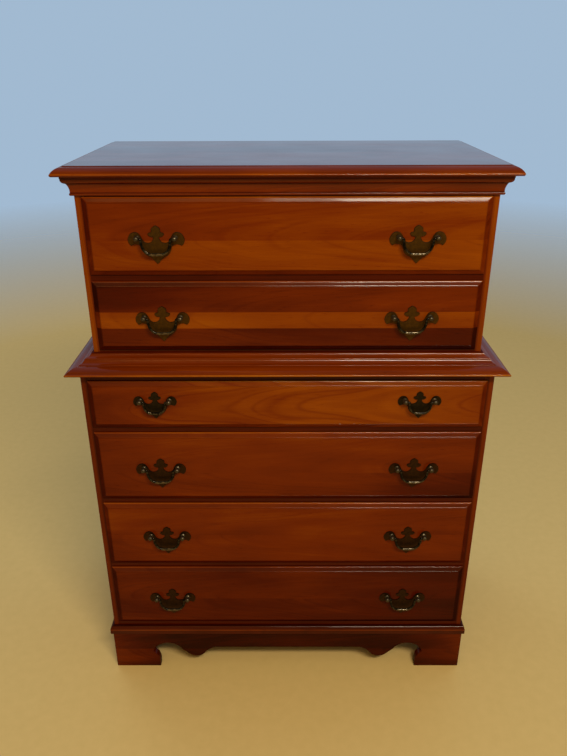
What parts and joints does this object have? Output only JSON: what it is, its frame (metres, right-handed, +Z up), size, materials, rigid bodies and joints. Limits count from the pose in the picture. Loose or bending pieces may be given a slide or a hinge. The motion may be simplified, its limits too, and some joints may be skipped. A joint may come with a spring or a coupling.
{
  "type": "chest of drawers",
  "caption": "Tall chest-on-chest with lipped sliding drawers, waist moulding, cornice, moulded top, scrolled apron, bracket feet and brass bail pulls that swing.",
  "frame": {"origin": "on the floor, under the middle of the bounding box at rest (drawers shut, bails hanging)", "axes": "+Z up, front of the chest towards -Y, +X to the viewer's right when facing the front"},
  "size_m": [0.944, 0.4924, 1.2785],
  "materials": {
    "cherry": "stained, polished satin gloss",
    "frame_wood": "planed, unfinished",
    "drawer_wood": "planed, lightly sealed",
    "thin_panel": "thin panel, unfinished",
    "antique_brass": "antique, darkened"
  },
  "bodies": {
    "case": {"front_apron": "cherry", "side_aprons": "cherry", "foot_blocks": "frame_wood", "base_moulding": "cherry", "waist_moulding": "cherry", "cornice_moulding": "cherry", "top_board": "cherry", "lower_side_right": "cherry", "lower_side_left": "cherry", "lower_back_panel": "thin_panel", "upper_side_right": "cherry", "upper_side_left": "cherry", "upper_back_panel": "thin_panel", "deck_board": "frame_wood", "front_rails": "cherry", "web_frames": "frame_wood", "dust_panels": "thin_panel", "centre_guides": "frame_wood"},
    "drawer_1": {"drawer_1_front": "cherry", "drawer_1_box": "drawer_wood", "drawer_1_bottom": "thin_panel", "drawer_1_pull_plates": "antique_brass", "drawer_1_pull_posts": "antique_brass"},
    "bail_1_left": {"drawer_1_bail_left": "antique_brass"},
    "bail_1_right": {"drawer_1_bail_right": "antique_brass"},
    "drawer_2": {"drawer_2_front": "cherry", "drawer_2_box": "drawer_wood", "drawer_2_bottom": "thin_panel", "drawer_2_pull_plates": "antique_brass", "drawer_2_pull_posts": "antique_brass"},
    "bail_2_left": {"drawer_2_bail_left": "antique_brass"},
    "bail_2_right": {"drawer_2_bail_right": "antique_brass"},
    "drawer_3": {"drawer_3_front": "cherry", "drawer_3_box": "drawer_wood", "drawer_3_bottom": "thin_panel", "drawer_3_pull_plates": "antique_brass", "drawer_3_pull_posts": "antique_brass"},
    "bail_3_left": {"drawer_3_bail_left": "antique_brass"},
    "bail_3_right": {"drawer_3_bail_right": "antique_brass"},
    "drawer_4": {"drawer_4_front": "cherry", "drawer_4_box": "drawer_wood", "drawer_4_bottom": "thin_panel", "drawer_4_pull_plates": "antique_brass", "drawer_4_pull_posts": "antique_brass"},
    "bail_4_left": {"drawer_4_bail_left": "antique_brass"},
    "bail_4_right": {"drawer_4_bail_right": "antique_brass"},
    "drawer_5": {"drawer_5_front": "cherry", "drawer_5_box": "drawer_wood", "drawer_5_bottom": "thin_panel", "drawer_5_pull_plates": "antique_brass", "drawer_5_pull_posts": "antique_brass"},
    "bail_5_left": {"drawer_5_bail_left": "antique_brass"},
    "bail_5_right": {"drawer_5_bail_right": "antique_brass"},
    "drawer_6": {"drawer_6_front": "cherry", "drawer_6_box": "drawer_wood", "drawer_6_bottom": "thin_panel", "drawer_6_pull_plates": "antique_brass", "drawer_6_pull_posts": "antique_brass"},
    "bail_6_left": {"drawer_6_bail_left": "antique_brass"},
    "bail_6_right": {"drawer_6_bail_right": "antique_brass"}
  },
  "joints": [
    {"name": "drawer_1_slide", "type": "slide", "parent": "case", "child": "drawer_1", "axis": [0, -1, 0], "range_m": [0, 0.31]},
    {"name": "bail_1_left_hinge", "type": "hinge", "parent": "drawer_1", "child": "bail_1_left", "pos_m": [-0.261, -0.21185, 1.13975], "axis": [-1, 0, 0], "range_deg": [-11, 135]},
    {"name": "bail_1_right_hinge", "type": "hinge", "parent": "drawer_1", "child": "bail_1_right", "pos_m": [0.261, -0.21185, 1.13975], "axis": [-1, 0, 0], "range_deg": [-11, 135]},
    {"name": "drawer_2_slide", "type": "slide", "parent": "case", "child": "drawer_2", "axis": [0, -1, 0], "range_m": [0, 0.31]},
    {"name": "bail_2_left_hinge", "type": "hinge", "parent": "drawer_2", "child": "bail_2_left", "pos_m": [-0.261, -0.21185, 0.97175], "axis": [-1, 0, 0], "range_deg": [-11, 135]},
    {"name": "bail_2_right_hinge", "type": "hinge", "parent": "drawer_2", "child": "bail_2_right", "pos_m": [0.261, -0.21185, 0.97175], "axis": [-1, 0, 0], "range_deg": [-11, 135]},
    {"name": "drawer_3_slide", "type": "slide", "parent": "case", "child": "drawer_3", "axis": [0, -1, 0], "range_m": [0, 0.34]},
    {"name": "bail_3_left_hinge", "type": "hinge", "parent": "drawer_3", "child": "bail_3_left", "pos_m": [-0.287, -0.24035, 0.79175], "axis": [-1, 0, 0], "range_deg": [-11, 135]},
    {"name": "bail_3_right_hinge", "type": "hinge", "parent": "drawer_3", "child": "bail_3_right", "pos_m": [0.287, -0.24035, 0.79175], "axis": [-1, 0, 0], "range_deg": [-11, 135]},
    {"name": "drawer_4_slide", "type": "slide", "parent": "case", "child": "drawer_4", "axis": [0, -1, 0], "range_m": [0, 0.34]},
    {"name": "bail_4_left_hinge", "type": "hinge", "parent": "drawer_4", "child": "bail_4_left", "pos_m": [-0.287, -0.24035, 0.62], "axis": [-1, 0, 0], "range_deg": [-11, 135]},
    {"name": "bail_4_right_hinge", "type": "hinge", "parent": "drawer_4", "child": "bail_4_right", "pos_m": [0.287, -0.24035, 0.62], "axis": [-1, 0, 0], "range_deg": [-11, 135]},
    {"name": "drawer_5_slide", "type": "slide", "parent": "case", "child": "drawer_5", "axis": [0, -1, 0], "range_m": [0, 0.34]},
    {"name": "bail_5_left_hinge", "type": "hinge", "parent": "drawer_5", "child": "bail_5_left", "pos_m": [-0.287, -0.24035, 0.431], "axis": [-1, 0, 0], "range_deg": [-11, 135]},
    {"name": "bail_5_right_hinge", "type": "hinge", "parent": "drawer_5", "child": "bail_5_right", "pos_m": [0.287, -0.24035, 0.431], "axis": [-1, 0, 0], "range_deg": [-11, 135]},
    {"name": "drawer_6_slide", "type": "slide", "parent": "case", "child": "drawer_6", "axis": [0, -1, 0], "range_m": [0, 0.34]},
    {"name": "bail_6_left_hinge", "type": "hinge", "parent": "drawer_6", "child": "bail_6_left", "pos_m": [-0.287, -0.24035, 0.242], "axis": [-1, 0, 0], "range_deg": [-11, 135]},
    {"name": "bail_6_right_hinge", "type": "hinge", "parent": "drawer_6", "child": "bail_6_right", "pos_m": [0.287, -0.24035, 0.242], "axis": [-1, 0, 0], "range_deg": [-11, 135]}
  ]
}
